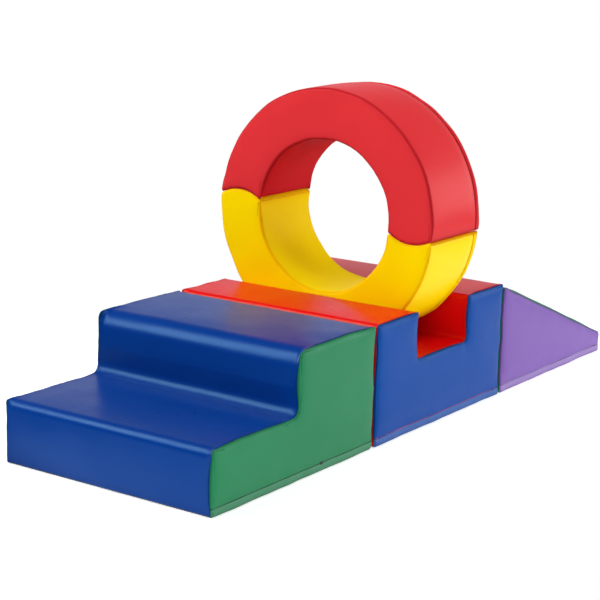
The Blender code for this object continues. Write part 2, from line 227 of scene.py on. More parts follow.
def half_ring_outline(rounding, swell_out, rests_at):
    """A ring half's outline, counter-clockwise from the joint on its +X side: rim, joint, bore, joint.

    Each side is an arc, and each corner is a smaller one that touches both its neighbours. The rim swells out
    from the foam's circle, apart from where it rests on the channel's floor.
    """
    half_chord = (RING_RADIUS - BORE_RADIUS) / 2
    bow = (half_chord ** 2 + JOINT_RISE ** 2) / (2 * JOINT_RISE)
    middle, rim = BORE_RADIUS + half_chord, RING_RADIUS + swell_out
    centre = Vector((0, 0))
    hump = Vector((middle, JOINT_RISE - bow + GAP / 2))
    hollow = Vector((-middle, bow - JOINT_RISE + GAP / 2))
    # Centre, radius, whether the foam lies towards the centre, and whether the outline runs counter-clockwise
    sides = [(centre, rim, 1, 1), (hollow, bow, 1, 1), (centre, BORE_RADIUS, -1, -1), (hump, bow, -1, -1)]
    rounds = []
    for index, tip in enumerate((rim, -rim, -BORE_RADIUS, BORE_RADIUS)):
        both = sides[index - 1], sides[index]
        before, after = ((side[0], side[1] - side[2] * rounding) for side in both)
        place = crossing(*before, *after, Vector((tip, 0)))
        touches = [side[0] + (place - side[0]).normalized() * side[1] for side in both]
        rounds.append((place, *touches))
    parts, arcs = [], []

    def add(middle, radius, start, end, way, inwards, shares, cornered, pressed):
        """Points on an arc from a start to an end, which runs counter-clockwise for way 1."""
        first, last = (atan2(*(place - middle).yx) for place in (start, end))
        sweep = ((last - first) * way) % (2 * pi) * way
        turns = first + sweep * shares
        out = np.stack([np.cos(turns), np.sin(turns)], -1)
        corner = cornered * np.minimum(shares, 1 - shares) * abs(sweep) * radius
        parts.append((np.array(middle) + radius * out, -inwards * out, corner, pressed + 0 * shares))

    for index, (side_middle, radius, inwards, way) in enumerate(sides):
        joint = index in (1, 3)
        place, first, last = rounds[index]
        arcs.append(sum(len(part[0]) for part in parts) + ARC_POINTS // 2)
        add(place, rounding, first, last, 1, 1, ARC, 0, ARC_EASE if joint else 1 - ARC_EASE)
        count = round(4 * half_chord / PITCH) if joint else round(radius * pi / PITCH)
        add(side_middle, radius, last, rounds[(index + 1) % 4][1], way, inwards,
            np.linspace(0, 1, count + 2)[1:-1], 1, float(joint))
    points, inward, corner, pressed = (np.concatenate(part) for part in zip(*parts))
    if rests_at is not None:
        radius = norm(points, axis=1)
        turned = np.arctan2(points[:, 1], points[:, 0]) - rests_at
        resting = np.exp(-(turned / FLOOR_SHARE) ** 2)
        points *= (1 - swell_out * resting * (radius > middle) / radius)[:, None]
    return Outline(points, inward, corner, pressed, arcs)


def edge_profile(turn, rows=6):
    """A panel's rolled edge seen end on, from its turned-in lip up to the flat. It turns as far as its seam.

    Each point is how far it has dropped below its own face, and how far it still is from the neighbour's.
    """
    seam = turn - (LIP + GAP / 2) / ROLL
    inward = np.array([cos(seam), sin(seam)])
    outward_along = np.array([sin(seam), -cos(seam)])
    centre = ROLL * np.array([1 - cos(seam), 1 - sin(seam)]) + LIP * inward
    lip_turns = radians(90) * np.linspace(1, 0.25, 4)
    lip = [centre + LIP * (outward_along * sin(turn) - inward * cos(turn)) for turn in lip_turns]
    turns = np.linspace(seam, 0, rows)
    roll = ROLL * np.stack([1 - np.cos(turns), 1 - np.sin(turns)], -1)
    return np.array([lip[0] + LIP_DEPTH * inward, *lip, *roll])


def hem_profile():
    """A panel's turned-in lip at a zip. Each point is its drop and its distance from the slit."""
    turns = radians(90) * np.linspace(1, 0, 5)
    lip = LIP * (1 - np.stack([np.cos(turns), np.sin(turns)], -1))
    return np.array([lip[0] + [HEM_DEPTH, 0], *lip])


def spread(start, end):
    """Places from a start to an end, whose steps grow by a quarter from a seam's to the widest."""
    places, step = [start], SEAM_PITCH
    while places[-1] + step < end - step / 2:
        places.append(places[-1] + step)
        step = min(step * 1.25, PITCH)
    return np.array(places[1:] + [end])


# Forms: the three modules and the two ring halves

def level(points):
    return np.zeros(points.shape[:-1])


@dataclass
class Form:
    """What a body's covers are drawn over, at most half from its middle on either side.

    Outline_of gives its outlines by name and to_world places them. Bulge_of says how far the covers stand out
    along an outline: seam_loft of that at the seams, and all of it past the reach. Sunk_of says how far the
    far side is drawn in at a point of its plane.
    """

    body: str
    outline_of: object
    half: float
    face_drop: float
    face_puff: float
    face_bulge: float
    to_world: object
    seed: int
    bulge_of: object
    reach: float = 0.06
    seam_loft: float = 0.6
    sunk_of: object = level

    def __post_init__(self):
        self.seam, self.middle = self.outline_of("seam"), self.outline_of("middle")
        self.bulge = self.bulge_of(self.seam)

    def at(self, columns, share):
        """Points and inward ways at places counted along the outline, between the seam's and the middle's."""
        low = np.floor(columns).astype(int)
        part = (columns - low)[:, None]
        count = len(self.seam.points)

        def along(values):
            return values[low % count] * (1 - part) + values[(low + 1) % count] * part

        share = share[:, None, None]
        points = along(self.seam.points) * (1 - share) + along(self.middle.points) * share
        inward = along(self.seam.inward) * (1 - share) + along(self.middle.inward) * share
        return points, unit(inward)

    def waves(self, run, total, far):
        """How far a seam strays along its run: inwards and across in long waves, and inwards in puckers."""
        seed = self.seed + (50 if far else 0)
        return (STRAY_IN * loop_ripple(run, total, *STRAY_LENGTHS, seed),
                STRAY_ACROSS * loop_ripple(run, total, *STRAY_LENGTHS, seed + 1),
                PUCKER * loop_ripple(run, total, *PUCKER_LENGTHS, seed + 2))


# Making meshes

def make(name, points, faces, outward, finish, body, nodes, seam_shade_and_tooth_mark=None, weld=False):
    """A smooth piece from points and faces. Each group of faces is turned as a whole to face outwards."""
    points = np.asarray(points, float)
    turned = []
    for group, way in zip(faces, outward):
        corners = points[group]
        facing = np.cross(corners[:, 1] - corners[:, 0], corners[:, 2] - corners[:, 0])
        flip = (facing * way[group[:, 0]]).sum() < 0
        turned += (group[:, ::-1] if flip else group).tolist()
    mesh = bpy.data.meshes.new(name)
    mesh.from_pydata(points.tolist(), [], turned)
    # The mark kept on each point: on a cover its dark seam line and painted shade, on a zip chain which
    # points are teeth
    if seam_shade_and_tooth_mark is not None:
        mesh.attributes.new("seam_shade_and_tooth_mark", "FLOAT", "POINT").data.foreach_set("value", np.asarray(seam_shade_and_tooth_mark, np.float32))
    if weld:
        work = bmesh.new()
        work.from_mesh(mesh)
        bmesh.ops.remove_doubles(work, verts=work.verts, dist=0.00001)
        work.to_mesh(mesh)
        work.free()
    mesh.shade_smooth()
    mesh.materials.append(finish)
    piece = bpy.data.objects.new(name, mesh)
    bpy.context.scene.collection.objects.link(piece)
    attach(piece, body)
    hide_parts(*nodes)
    return piece


def cover(form, panel, points, faces, outward, finish, seam_shade_and_tooth_mark, weld=False):
    """A vinyl cover, with its wall, in the place of one of the form's panels or flaps."""
    name = f"{form.body}_{panel.replace('_panel', '')}_cover"
    piece = make(name, points, faces, outward, finish, form.body, [f"{form.body}_{panel}"], seam_shade_and_tooth_mark, weld)
    wall = piece.modifiers.new("Wall", "SOLIDIFY")
    wall.thickness, wall.offset = VINYL, -1


def joined(parts):
    """Parts as one: their points, their ways outwards, and each part's faces, counted on from the last."""
    points, ways = (np.concatenate([part[index].reshape(-1, 3) for part in parts]) for index in (0, 1))
    starts = np.cumsum([0] + [part[0].size // 3 for part in parts])
    return points, [ways] * len(parts), [part[2] + start for part, start in zip(parts, starts)]


def quads(rows, columns, closed=False):
    """The faces of a grid, closed along its columns or not."""
    across = np.arange(columns if closed else columns - 1)
    row, column = np.meshgrid(np.arange(rows - 1), across, indexing="ij")
    after = (column + 1) % columns
    return np.stack([row * columns + column, row * columns + after,
                     (row + 1) * columns + after, (row + 1) * columns + column], -1).reshape(-1, 4)


WRAP_EDGE, FACE_EDGE = edge_profile(WRAP_TURN), edge_profile(FACE_TURN, 8)
HEM = hem_profile()


def seam_rows(inner_end):
    """Rows from a seam's lip to a place inside: how far each is rolled down, its distance from the side, and
    how far it moves towards the side where the roll shrinks to nothing."""
    flat = spread(ROLL, inner_end)
    roll = np.r_[WRAP_EDGE[:, 0], 0 * flat]
    side = np.r_[WRAP_EDGE[:, 1], flat]
    return roll, side, np.minimum(side, ROLL) * np.exp(-np.maximum(side - ROLL, 0) / 0.020)


def lipped(first, last):
    """Places along an outline with a turned-in lip at both ends: the places, and each one's drop."""
    turns = radians(90) * np.linspace(0.25, 1, 4)
    reach, drop = np.sin(turns) * 0.93, LIP * (1 - np.cos(turns))
    middle, deep = np.arange(first + 1, last), LIP + LIP_DEPTH
    places = np.r_[first + 1 - reach[-1], first + 1 - reach[::-1], middle, last - 1 + reach,
                   last - 1 + reach[-1]]
    return places, np.r_[deep, drop[::-1], 0 * middle, drop, deep]


def sheet(form, panel, first, last, rows, finish):
    """A cover panel over part of a form's outline, from seam centre to seam centre, carried across in rows.

    Each row has its roll at a seam and fold at a zip, its place across and how that slides where the roll is
    less, its ways to the near and the far seam, its share of the bulge, and whether it's at a hem.
    Point = outline + inward x (roll x ease + fold + lip - bulge x share + waves), drawn in across at the far
    seam by what the form is sunk. The waves fade with the way to their seam.
    """
    columns, lip = lipped(first, last)
    base, inward = form.at(columns, smooth(form.half - np.abs(rows[2]), 0, SEAM_REACH))
    roll, fold, across, slide, near, far, loft, hem = (row[:, None] for row in rows)
    seam = form.seam
    run = seam.between(seam.run, columns, seam.length) + columns // len(seam.points) * seam.length
    free, ease = 1 - seam.between(seam.pressed, columns), seam.between(seam.ease, columns)
    inset = roll * ease + fold + lip - seam.between(form.bulge, columns) * loft
    place = across + slide * (1 - ease) - form.sunk_of(base[0]) * np.exp(-far / SUNK_FADE)
    for way, is_far in ((near, False), (far, True)):
        inwards, sideways, puckers = form.waves(run, seam.length, is_far)
        slow, quick = fading(way)
        inset += free * (inwards * slow + puckers * quick)
        place += sideways * slow
    dents = DENT * free * swell(run, place, *DENT_LENGTHS, form.seed + 7)
    inset += dents * (1 - np.exp(-np.minimum(near, far) / DENT_FADE))
    points = form.to_world(base + inward * inset[..., None], place)
    outward = form.to_world(base, place) - form.to_world(base + inward, place)
    # The mark: a dark seam line with painted shade beside each seam and towards the ends, dark all over on
    # the lips, and darker beside a ring's zip slit
    ends = np.maximum(lip > 0, seam_line_and_shade_at(np.minimum(run - run[0], run[-1] - run)))
    seam_shade_and_tooth_mark = np.maximum(np.maximum(seam_line_and_shade_at(np.minimum(near, far)), hem * 0.5), ends)
    cover(form, panel, points.reshape(-1, 3), [quads(*inset.shape)], [outward.reshape(-1, 3)], finish,
          seam_shade_and_tooth_mark.ravel())


def lofted(near, far, form):
    """How much of the bulge there is at these distances from the seams, which stand out with it in part."""
    return form.seam_loft + (1 - form.seam_loft) * np.tanh(np.minimum(near, far) / form.reach)


def mirrored(values, sign=1):
    """Values for the near half and the middle, and then the far half's, of the same or the other sign."""
    return np.r_[values, sign * values[-2::-1]]


def full_rows(form):
    """Rows from the near seam to the far one."""
    roll, side, slide = seam_rows(form.half)
    near = np.maximum(side - side[0], 0)
    nears = np.r_[near, 2 * form.half - near[-2::-1]]
    across = mirrored(side - form.half + form.face_drop, -1)
    return np.broadcast_arrays(mirrored(roll), 0.0, across, mirrored(-slide, -1), nears, nears[::-1],
                               lofted(nears, nears[::-1], form), 0.0)


def rim_rows(form):
    """Rows from the near seam to the zip's slit."""
    roll, side, slide = seam_rows(form.half)
    slit = form.half - RING_ZIP_PLACE + RING_ZIP_HALF
    flat = spread(slit + LIP, form.half)
    hem_side = np.r_[slit + HEM[:, 1], flat]
    from_slit = hem_side - hem_side[0]
    fold = np.r_[HEM[:, 0], 0 * flat] + RING_SWELL * np.exp(-from_slit / PULL_FADE)
    across = np.r_[side - form.half + form.face_drop, (form.half - hem_side)[-2::-1]]
    near = np.maximum(across - across[0], 0)
    hem = np.exp(-from_slit[-2::-1] / HEM_FADE)
    loft = lofted(near, near + 1, form) * np.tanh((across[-1] - across) / 0.03)
    return (np.r_[roll, 0 * hem], np.r_[0 * roll, fold[-2::-1]], across, np.r_[-slide, 0 * hem], near,
            form.half - across, loft, np.r_[0 * roll, hem])


def flap_rows(form):
    """Rows from the zip's slit to the far seam."""
    roll, side = WRAP_EDGE[::-1].T
    middle = (form.half - RING_ZIP_PLACE - RING_ZIP_HALF - LIP + ROLL) / 2
    low = RING_ZIP_PLACE + RING_ZIP_HALF + HEM[:, 1]
    high = form.half - form.face_drop - side
    across = np.r_[low, form.half - middle, high]
    far = np.maximum(high[-1] - across, 0)
    nothing = np.r_[0 * low, 0]
    hem = np.r_[np.exp(-HEM[:, 1] / HEM_FADE), 0, 0 * high]
    from_slit = across - low[0]
    fold = np.r_[HEM[:, 0], 0, 0 * high] + RING_SWELL * np.exp(-from_slit / PULL_FADE)
    out = from_slit / from_slit[-1]
    loft = form.seam_loft * np.sin(pi / 2 * out) + 0.3 * np.sin(pi * out)
    return (np.r_[nothing, roll], fold, across, np.r_[nothing, side],
            2 * form.half - far, far, loft, hem)


def inside_of(loop, places, batch=400):
    """Whether each place lies in a closed loop, by counting crossings, and its distance from the loop."""
    if len(places) > batch:
        parts = [inside_of(loop, places[start:start + batch]) for start in range(0, len(places), batch)]
        return tuple(np.concatenate(part) for part in zip(*parts))
    start, end = loop, np.roll(loop, -1, 0)
    x, y = places[:, :1], places[:, 1:]
    rises = (start[:, 1] > y) != (end[:, 1] > y)
    slope = (end[:, 0] - start[:, 0]) / np.where(end[:, 1] == start[:, 1], 1, end[:, 1] - start[:, 1])
    crossed = (rises & (x < start[:, 0] + (y - start[:, 1]) * slope)).sum(1) % 2 == 1
    way = end - start
    share = ((places[:, None] - start) * way).sum(-1) / np.maximum((way * way).sum(-1), 1e-12)
    nearest = start + np.clip(share, 0, 1)[..., None] * way
    return crossed, norm(places[:, None] - nearest, axis=-1).min(1)


def lattice(loop, pitch):
    """A grid of places over a loop's box."""
    first, second = (np.arange(low + pitch / 2, high, pitch) for low, high in zip(loop.min(0), loop.max(0)))
    return np.stack(np.meshgrid(first, second), -1).reshape(-1, 2)


def filled(loop, pitch, heights=(), fine=None):
    """Points and triangles over the inside of a closed loop, on a lattice, with rows at some heights.

    The lattice is finer within a distance of the loop.
    """
    places = lattice(loop, pitch)
    if fine:
        close = lattice(loop, pitch / 2.5)
        places = np.r_[places[inside_of(loop, places)[1] > fine], close[inside_of(loop, close)[1] <= fine]]
        pitch /= 2.5
    for height in heights:
        places = places[np.abs(places[:, 1] - height) > pitch / 3]
    along = np.arange(loop[:, 0].min() + pitch / 2, loop[:, 0].max(), pitch / 2)
    rows = [np.stack([along, np.full(len(along), height)], -1) for height in heights]
    places = np.concatenate([places, *rows])
    inside, away = inside_of(loop, places)
    places = places[inside & (away > pitch * (0.12 if heights else 0.45))]
    cut = [(index, (index + 1) % len(loop)) for index in range(len(loop))]
    points = [Vector(point) for point in np.r_[loop, places]]
    points, _, faces, *_ = delaunay_2d_cdt(points, cut, [], 1, 1e-7)
    return np.array(points), np.array(faces)


ZIP_STEPS = np.array([-0.0002, *(HEM[1:, 1])]) + ZIP_HALF
ZIP_STOPS = tuple(sorted([*(ZIP_HEIGHT - ZIP_STEPS), *(ZIP_HEIGHT + ZIP_STEPS)]))


def hem_drop(height):
    """How far the near side is folded in at a height, by the zip: a quarter circle down to a straight lip."""
    away = np.abs(height - ZIP_HEIGHT) - ZIP_HALF
    fold = LIP - np.sqrt(LIP ** 2 - np.clip(LIP - away, 0, LIP) ** 2)
    return np.where(away < -0.0001, LIP + HEM_DEPTH, fold)


def side_panel(form, panel, far, finish, part=0):
    """A side, closed loop by closed loop from its seam's lip to its flat, and then filled with a lattice.

    Its faces lie half a width out, rolled over at the rim, with a slow bulge towards the middle, and the far
    side is sunk where the form is. A part of 1 keeps what lies above the zip, and of -1 what lies below it.
    """
    stops = ZIP_STOPS if part else ()
    outline = form.outline_of("seam", stops)
    edge_line = outline.points - outline.inward * (form.seam_loft * form.bulge_of(outline))[:, None]
    way_out = 1 if far else -1
    inwards, sideways, puckers = form.waves(outline.run, outline.length, far)
    free, scale = 1 - outline.pressed, outline.ease
    inwards, puckers = inwards * free, puckers * free
    fold = hem_drop(outline.points[:, 1]) * abs(part)
    drop, inset = FACE_EDGE.T[:, :, None]
    start = inset[0, 0]
    way = np.maximum(inset - start, 0)
    slow, quick = fading(way)
    lean = np.clip(1 - inset / ROLL, 0, 1) * pi / 2
    inset = inset * scale + inwards * slow + fold * np.sin(lean)
    lines = edge_line + outline.inward * inset[..., None]
    depths = drop * scale - way_out * sideways * slow + puckers * quick + fold * np.cos(lean)
    depths += far * form.sunk_of(lines)
    inner = edge_line + outline.inward * (ROLL * scale)[:, None]
    places, faces = filled(inner, FACE_PITCH, stops, FINE_REACH)
    away = np.maximum(inside_of(edge_line, places)[1] - start, 0)
    slow, quick = fading(away)
    nearest = np.concatenate([norm(group[:, None] - inner, axis=-1).argmin(1)
                              for group in np.array_split(places, 12)])
    edge = norm(places - inner[nearest], axis=-1)
    shift = (outline.inward * inwards[:, None])[nearest] * slow[:, None]
    bow = form.face_puff * (1 - np.exp(-edge / PUFF_REACH)) + form.face_bulge * np.tanh(edge / BULGE_REACH)
    if part:
        above = places[:, 1] - ZIP_HEIGHT
        bow *= smooth(above, 0, ZIP_RISE)
        bow += FLAP_PUFF * (1 - np.exp(-edge / FLAP_REACH)) * smooth(-above, 0, FLAP_RISE)
    bow += DENT * swell(*places.T, *DENT_LENGTHS, form.seed + 11) * np.tanh(edge / DENT_FADE)
    depth = puckers[nearest] * quick - way_out * sideways[nearest] * slow - bow
    depth += far * form.sunk_of(places) + hem_drop(places[:, 1]) * abs(part)
    plane = np.r_[lines.reshape(-1, 2), places + shift]
    # The mark: a dark seam line with a band of painted shade beside it, and darker beside the zip's slit
    seam_line_and_shade = np.r_[(seam_line_and_shade_at(way) + 0 * depths).ravel(), seam_line_and_shade_at(away)]
    groups = [quads(*depths.shape, closed=True), faces + depths.size]
    if part:
        slit = np.maximum(np.abs(plane[:, 1] - ZIP_HEIGHT) - ZIP_HALF, 0)
        seam_line_and_shade = np.maximum(seam_line_and_shade, 0.2 * np.exp(-slit / HEM_FADE))
        groups = [group[(plane[group, 1].mean(1) - ZIP_HEIGHT) * part > ZIP_HALF - 0.00021]
                  for group in groups]
    across = way_out * (form.half - form.face_drop - np.r_[depths.ravel(), depth])
    points = form.to_world(plane, across)
    outward = points - form.to_world(plane, across - way_out)
    cover(form, panel, points, groups, [outward, outward], finish, seam_line_and_shade, weld=True)


def foam_block(form):
    """The cut foam inside the covers: the outline drawn in under them and carried across, with eased edges.

    Point = outline + inward x (FOAM_INSET + FOAM_EDGE x (1 - sin)), at FOAM_INSET + FOAM_EDGE x (1 - cos) in
    from a side, and sunk with the far side.
    """
    outline = form.outline_of("foam")
    turns = np.linspace(pi / 2, 0, 5)[::-1]
    drop = FOAM_INSET + FOAM_EDGE * (1 - np.sin(turns))
    reach = form.half - form.face_drop - FOAM_INSET - FOAM_EDGE * (1 - np.cos(turns))
    across = np.r_[-reach[::-1], np.linspace(-reach[-1], reach[-1], 24)[1:-1], reach]
    drops = np.r_[drop[::-1], np.full(22, FOAM_INSET), drop]
    rough = FOAM_ROUGH * swell(outline.run[None], across[:, None], 0.12, 0.03, form.seed + 21)
    plane = outline.points + outline.inward * (drops[:, None] + rough)[..., None]
    place = across[:, None] - form.sunk_of(plane) * np.exp((across - reach[-1]) / SUNK_FADE)[:, None]
    sides = form.to_world(plane, place)
    parts = [(sides, sides - form.to_world(plane + outline.inward, place), quads(*rough.shape, closed=True))]
    for row, way_out in ((0, -1), (-1, 1)):
        places, faces = filled(plane[row], FOAM_PITCH)
        place = across[row] - form.sunk_of(places) * (way_out > 0)
        face = form.to_world(places, place)
        parts.append((face, face - form.to_world(places, place - way_out), faces))
    points, ways, groups = joined(parts)
    piece = make(form.body + "_foam_block", points, groups, ways, FOAM, form.body,
                 [form.body + "_foam_core"], weld=True)


# The modules and ring halves

def convex(radius):
    """A corner's radius at the seam, midway across and on the foam."""
    return SEAM_ROUND, radius, max(radius, FOAM_ROUND)


def module_world(plane, across):
    return np.stack([plane[..., 0], across + 0 * plane[..., 0], plane[..., 1]], -1)


def module(body, corners, rounds, seed, bulges, **reaches):
    """A module's form from its corners in X and Z, listed clockwise from the front foot.

    A bulge is a box in X and Z, by its low and high corner, with how far the covers stand out there and the
    way from a corner over which that rises.
    """
    kinds = ("seam", "middle", "foam")

    def outline_of(kind, stops=()):
        return block_outline(corners, [corner[kinds.index(kind)] for corner in rounds], stops)

    def bulge_of(outline):
        bulge = np.zeros(len(outline.points))
        for low, high, height, rise in bulges:
            inside = ((outline.points >= low) & (outline.points <= high)).all(1)
            bulge += inside * height * np.tanh(outline.corner / rise)
        return bulge

    return Form(body, outline_of, HALF_WIDTH, *MODULE_FACE, module_world, seed, bulge_of, **reaches)


def ring_half(body, tilt, seed, rests_at=None):
    """A ring half's form. In its own plane it lies above, on the hump and hollow of the joint."""
    roundings = {"seam": SEAM_ROUND, "middle": 0.011, "foam": FOAM_ROUND}

    def outline_of(kind, stops=()):
        return half_ring_outline(roundings[kind], 0 if kind == "foam" else RING_SWELL, rests_at)

    def to_world(plane, across):
        first, second = plane[..., 0], plane[..., 1]
        return np.stack([RING_X + across + 0 * first, cos(tilt) * first - sin(tilt) * second,
                         RING_Z + sin(tilt) * first + cos(tilt) * second], -1)

    def bulge_of(outline):
        outer = norm(outline.points, axis=1) > (RING_RADIUS + BORE_RADIUS) / 2
        bulge = RING_BULGE * outer * (1 - outline.pressed) * np.tanh(outline.corner / RING_BULGE_REACH)
        if rests_at is not None:
            turned = np.arctan2(outline.points[:, 1], outline.points[:, 0]) - rests_at
            bulge *= 1 - np.exp(-(turned / (1.5 * FLOOR_SHARE)) ** 2)
        return bulge

    def sunk_of(points):
        away = norm(points, axis=-1) - BORE_RADIUS - SUNK_FLAT
        return SUNK * np.exp(-np.maximum(away, 0) / SUNK_REACH)

    return Form(body, outline_of, HALF_RING, *RING_FACE, to_world, seed, bulge_of, seam_loft=RING_SEAM_LOFT,
                sunk_of=sunk_of)


# Corners along X, and the margin of a bulge's box
HAIR = 0.001
RISER, STEPS_END, STEPS_TOP = STEPS_START + STEP_RUN, STEPS_START + 2 * STEP_RUN, 2 * STEP_RISE
CHANNEL_LEFT, CHANNEL_RIGHT = BRIDGE_START + CHANNEL_FRONT, BRIDGE_START + CHANNEL_BACK
BRIDGE_END, RAMP_END = BRIDGE_START + BRIDGE_LENGTH, RAMP_START + RAMP_LENGTH
steps = module(
    "steps",
    [(STEPS_START, 0), (STEPS_START, STEP_RISE), (RISER, STEP_RISE), (RISER, STEPS_TOP),
     (STEPS_END, STEPS_TOP), (STEPS_END, 0)],
    [convex(0.007), (0.009, 0.024, 0.026), (0.022, 0.029, 0.012), (0.017, 0.050, 0.050), convex(0.020),
     (0.014, 0.014, 0.026)],
    11,
    [((-1, 0), (STEPS_START + HAIR, 1), 0.0055, 0.05),
     ((-1, STEP_RISE - HAIR), (1, STEP_RISE + HAIR), 0.0042, 0.12),
     ((RISER - HAIR, STEP_RISE), (RISER + HAIR, 1), 0.0090, 0.10),
     ((-1, STEPS_TOP - HAIR), (1, 1), 0.0045, 0.09)])
bridge = module(
    "bridge",
    [(BRIDGE_START, 0), (BRIDGE_START, BRIDGE_HEIGHT), (CHANNEL_LEFT, BRIDGE_HEIGHT),
     (CHANNEL_LEFT, CHANNEL_FLOOR), (CHANNEL_RIGHT, CHANNEL_FLOOR), (CHANNEL_RIGHT, BRIDGE_HEIGHT),
     (BRIDGE_END, BRIDGE_HEIGHT), (BRIDGE_END, 0)],
    [convex(0.010), convex(0.014), convex(0.012), (0.013, 0.013, 0.010), (0.013, 0.013, 0.010),
     convex(0.012), convex(0.014), convex(0.010)],
    12, [((-1, BRIDGE_HEIGHT - HAIR), (1, 1), 0.0022, 0.05)])
ramp = module(
    "ramp",
    [(RAMP_START, 0), (RAMP_START, RAMP_HEIGHT), (RAMP_END, TOE_HEIGHT), (RAMP_END, 0)],
    [convex(0.010), (0.009, 0.013, 0.026), (0.011, 0.020, 0.026), convex(0.007)],
    13, [((RAMP_START + HAIR, TOE_HEIGHT), (RAMP_END - HAIR, 1), 0.0100, 0.05)], reach=0.018, seam_loft=0)
arch = ring_half("arch", JOINT_TILT, 14)
cradle = ring_half("cradle", JOINT_TILT + pi, 15, pi / 2 - JOINT_TILT)


# Materials

def arithmetic(operation, turned=False):
    """An operator that adds a Math node on two terms, or on the same two turned round."""
    def operator(self, other):
        return self.math(operation, *((other, self) if turned else (self, other)))
    return operator


class Value:
    """A socket in a finish's nodes. Arithmetic on it adds Math nodes."""

    def __init__(self, finish, socket):
        self.finish, self.socket = finish, socket

    def math(self, operation, *terms, clamp=False):
        return self.finish.node("ShaderNodeMath", {"operation": operation, "use_clamp": clamp}, *terms)

    __add__, __radd__ = arithmetic("ADD"), arithmetic("ADD", True)
    __sub__, __rsub__ = arithmetic("SUBTRACT"), arithmetic("SUBTRACT", True)
    __mul__, __rmul__ = arithmetic("MULTIPLY"), arithmetic("MULTIPLY", True)
    __truediv__ = arithmetic("DIVIDE")

    def clamped(self):
        return self.math("ADD", self, 0, clamp=True)


class Finish:
    """A material and its nodes, or the world's."""

    def __init__(self, name, owner=None):
        self.owner = owner or bpy.data.materials.new(name)
        self.owner.use_nodes = True
        self.tree = self.owner.node_tree
        self.shader = self.tree.nodes.get("Principled BSDF")

    def node(self, kind, settings=None, *inputs, out=0, **named):
        """Adds a node: its settings first, then what goes into its sockets, by place or by name."""
        node = self.tree.nodes.new(kind)
        for key, value in (settings or {}).items():
            setattr(node, key, value)
        self.feed(node, dict(enumerate(inputs)) | named)
        return Value(self, node.outputs[out])

    def feed(self, node, values):
        for key, value in values.items():
            socket = node.inputs[key.replace("_", " ") if isinstance(key, str) else key]
            if isinstance(value, Value):
                self.tree.links.new(value.socket, socket)
            else:
                socket.default_value = value

    def place(self):
        return self.node("ShaderNodeTexCoord", out=3)

    def part(self, vector, axis):
        return self.node("ShaderNodeSeparateXYZ", None, vector, out=axis)

    def seam_shade_and_tooth_mark(self):
        return self.node("ShaderNodeAttribute", {"attribute_name": "seam_shade_and_tooth_mark"}, out=2)

    def noise(self, scale, detail=2, roughness=0.5):
        return self.node("ShaderNodeTexNoise", None, Vector=self.place(), Scale=scale, Detail=detail,
                         Roughness=roughness)

    def cells(self, scale, feature="F1"):
        return self.node("ShaderNodeTexVoronoi", {"feature": feature}, Vector=self.place(), Scale=scale)

    def mix(self, share, first, second):
        node = self.tree.nodes.new("ShaderNodeMix")
        node.data_type = "RGBA"
        self.feed(node, {0: share, 6: first, 7: second})
        return Value(self, node.outputs[2])

    def bump(self, height, distance, strength, **below):
        return self.node("ShaderNodeBump", None, Height=height, Distance=distance, Strength=strength, **below)

    def surface(self, **sockets):
        self.feed(self.shader, sockets)
        return self.owner


def linear(code):
    """A colour written as in a paint chart, as the shader wants it."""
    parts = [int(code[start:start + 2], 16) / 255 for start in (1, 3, 5)]
    return (*(part / 12.92 if part <= 0.04045 else ((part + 0.055) / 1.055) ** 2.4 for part in parts), 1)


def shade(colour, gain):
    return (*(min(1, part * gain) for part in colour[:3]), 1)


def vinyl(name, code, seam_line_and_shade_code, shine=0.18, sheen=(1, 1, 1), gloss=0.38):
    """Coated vinyl: an even colour with slow clouds, a fine leather grain, and duller seams darkened towards
    the seam colour by a thin dark line and a band of painted shade.
    """
    finish = Finish(name)
    colour = linear(code)
    clouds, fine, scuffs = finish.noise(5, 3), finish.noise(420, 3, 0.6), finish.noise(38, 4, 0.6)
    grain_cells = finish.cells(850, "DISTANCE_TO_EDGE")
    seam_shade_and_tooth_mark = finish.seam_shade_and_tooth_mark()
    base = finish.mix(clouds, shade(colour, 0.94), shade(colour, 1.06))
    # Towards the seam colour by the mark: a dark seam line and painted shade
    base = finish.mix(seam_shade_and_tooth_mark * 0.8, base, linear(seam_line_and_shade_code))
    roughness = gloss + (clouds - 0.5) * 0.08 + (scuffs - 0.5) * 0.10 + seam_shade_and_tooth_mark * 0.35
    grain = finish.bump(grain_cells.clamped() * 1.6 + fine * 0.5, 0.00006, 0.35)
    slow = finish.bump(finish.noise(60), 0.0004, 0.25, Normal=grain)
    return finish.surface(Base_Color=base, Roughness=roughness, Normal=slow, Specular_IOR_Level=shine,
                          Specular_Tint=(*sheen, 1))


def foam_finish():
    """Open-cell foam: cream, with round cells of two sizes, and painted shade in the pits of the larger
    cells.
    """
    finish = Finish("foam")
    cells, pores, clouds = finish.cells(520), finish.cells(190), finish.noise(9, 3)
    base = finish.mix(clouds, linear("#d9cba4"), linear("#e8dfc2"))
    # Darker tan at the middle of each larger cell, where its pit lies: painted shade
    base = finish.mix((1 - cells * 1.4).clamped() * 0.35, base, linear("#b59f6e"))
    return finish.surface(Base_Color=base, Roughness=0.88 + cells * 0.08,
                          Normal=finish.bump(cells + pores * 0.6, 0.0006, 0.8))


def grip_finish():
    """Black anti-slip fabric: a woven ground with rows of raised rubber dots."""
    finish = Finish("anti_slip_fabric")
    place = finish.place()

    def waves(length):
        """A product of sines along X and along Y."""
        east, north = (finish.part(place, axis) * (2 * pi / length) for axis in (0, 1))
        return east.math("SINE", east) * north.math("SINE", north)

    dots = (waves(0.006) - 0.25).clamped()
    base = finish.mix(dots, linear("#17181a"), linear("#26282b"))
    return finish.surface(Base_Color=base, Roughness=0.82 - dots * 0.25,
                          Normal=finish.bump(dots * 2 + waves(0.0011) * 0.25, 0.0004, 0.8))


